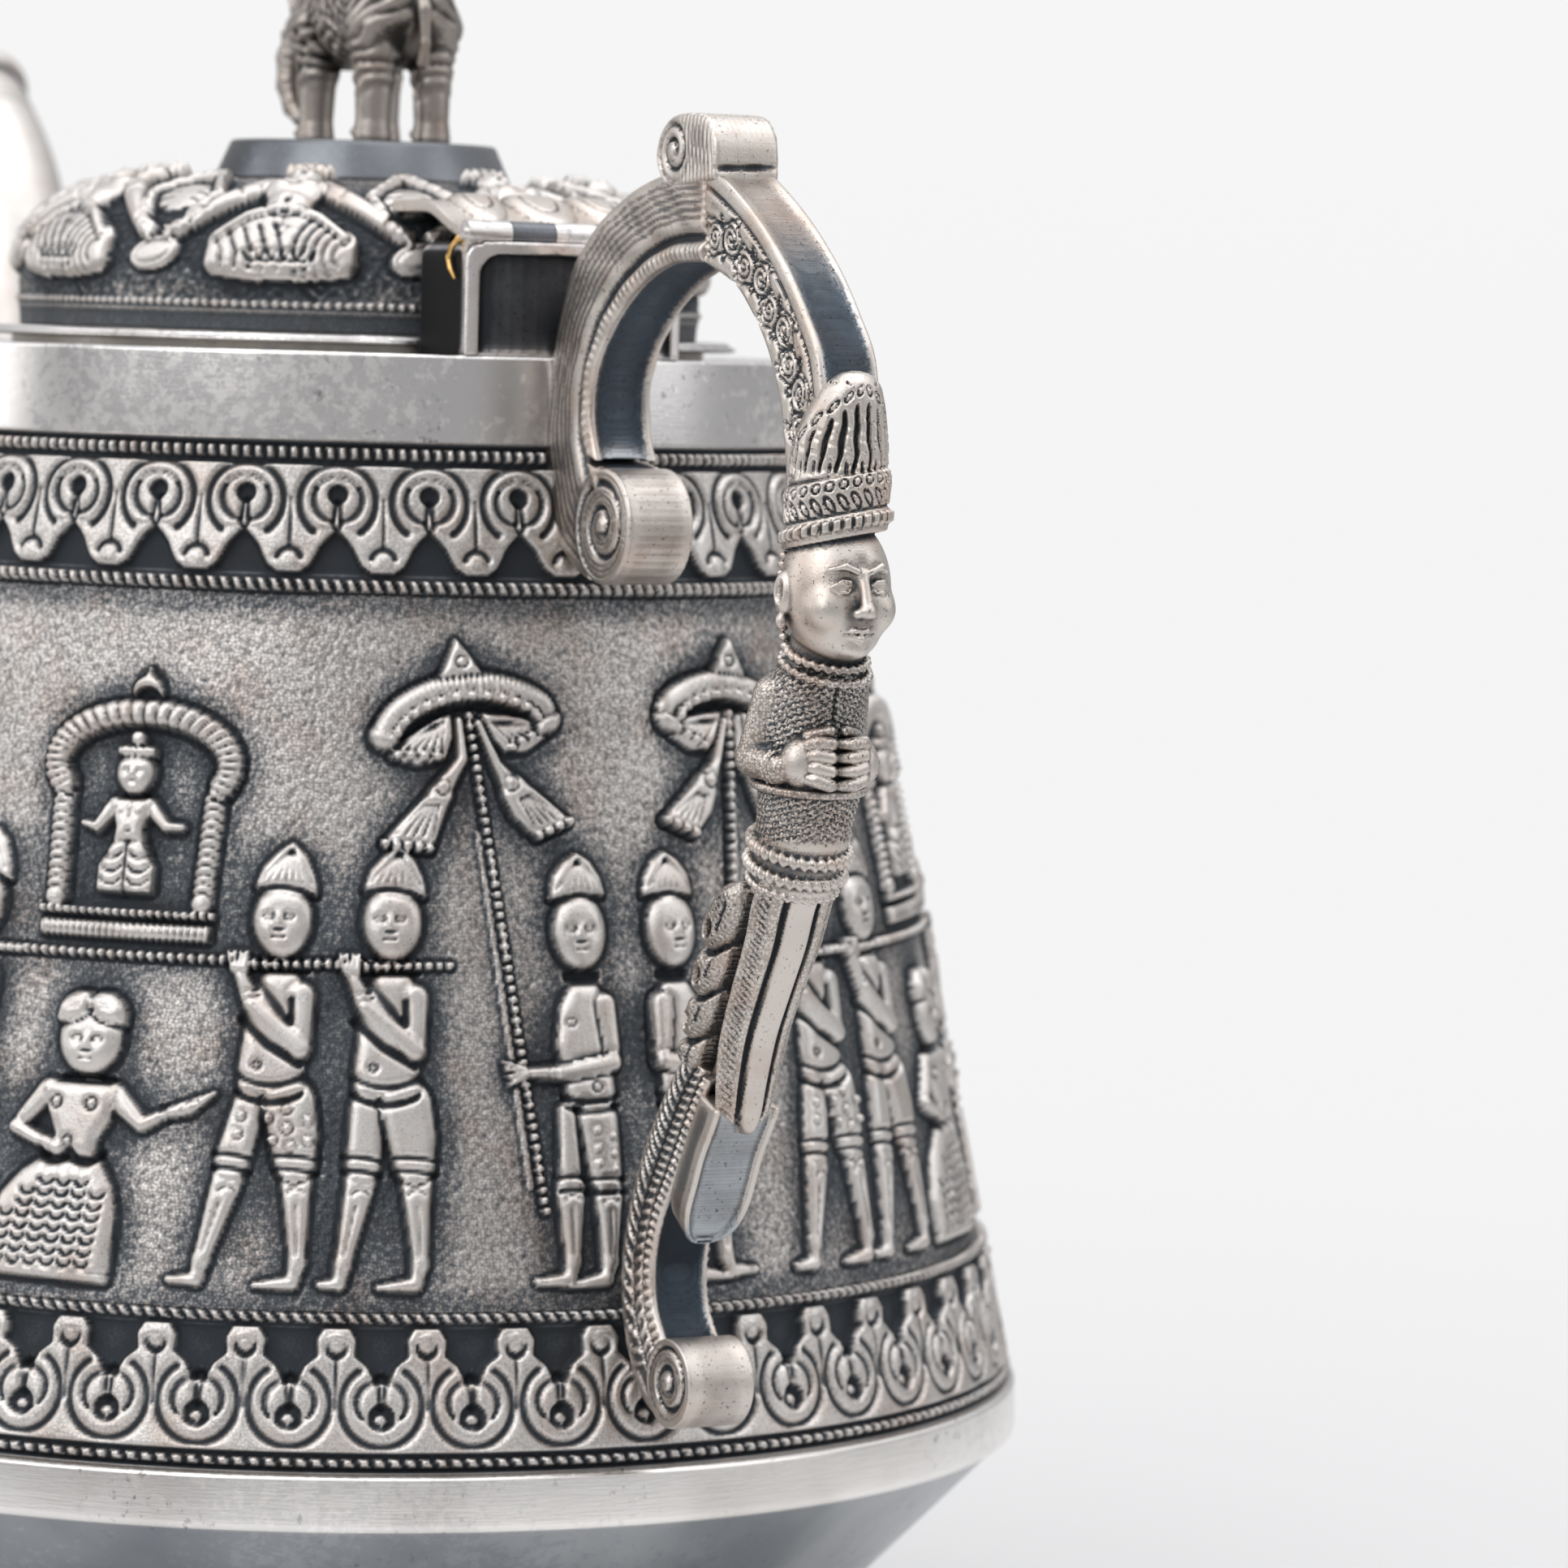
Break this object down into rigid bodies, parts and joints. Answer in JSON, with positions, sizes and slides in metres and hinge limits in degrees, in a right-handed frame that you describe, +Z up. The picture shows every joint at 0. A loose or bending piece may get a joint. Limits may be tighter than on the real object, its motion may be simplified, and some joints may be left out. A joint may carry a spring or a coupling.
{
  "type": "coffee pot",
  "caption": "Silver pot with a tapering chased body, hinged domed lid with an elephant finial, curved spout and cast figural scroll handle, for serving hot coffee or tea.",
  "frame": {"origin": "centre of the foot ring's resting face", "axes": "+Z up, +X towards the handle, -X towards the spout"},
  "size_m": [0.2134, 0.14, 0.1784],
  "materials": {
    "chased_silver": "chased and oxidised silver",
    "cast_silver": "cast and engraved silver, dark in the recesses",
    "polished_silver": "polished, lightly tarnished silver",
    "dark_silver": "unpolished tarnished silver",
    "gilt_brass": "gilt strip"
  },
  "bodies": {
    "pot": {"body_wall": "chased_silver", "rim_band": "polished_silver", "waist_band": "polished_silver", "base_pan": "polished_silver", "foot_ring": "polished_silver", "top_plate": "dark_silver", "mouth_collar": "dark_silver", "hinge_block": "polished_silver", "body_knuckles": "polished_silver", "hinge_pin": "polished_silver", "handle_upper_scroll": "cast_silver", "handle_thumb_scroll": "cast_silver", "handle_crown_arm": "cast_silver", "handle_figure": "cast_silver", "handle_skirt_leaf": "cast_silver", "handle_tongue": "cast_silver", "handle_lower_scroll": "cast_silver", "spout": "cast_silver", "spout_flange": "cast_silver", "spout_lip": "polished_silver", "strainer": "dark_silver"},
    "lid": {"lid_knuckles": "polished_silver", "lid_flange": "polished_silver", "lid_bezel": "dark_silver", "lid_dome": "chased_silver", "lid_strap": "polished_silver", "lid_notch_strip": "gilt_brass", "finial_plinth": "polished_silver", "finial_stud": "dark_silver", "finial_washer": "dark_silver", "finial_nut": "dark_silver", "elephant_finial": "cast_silver"}
  },
  "joints": [
    {"name": "lid_hinge", "type": "hinge", "parent": "pot", "child": "lid", "pos_m": [0.046, 0, 0.1495], "axis": [0, 1, 0], "range_deg": [0, 100]}
  ]
}
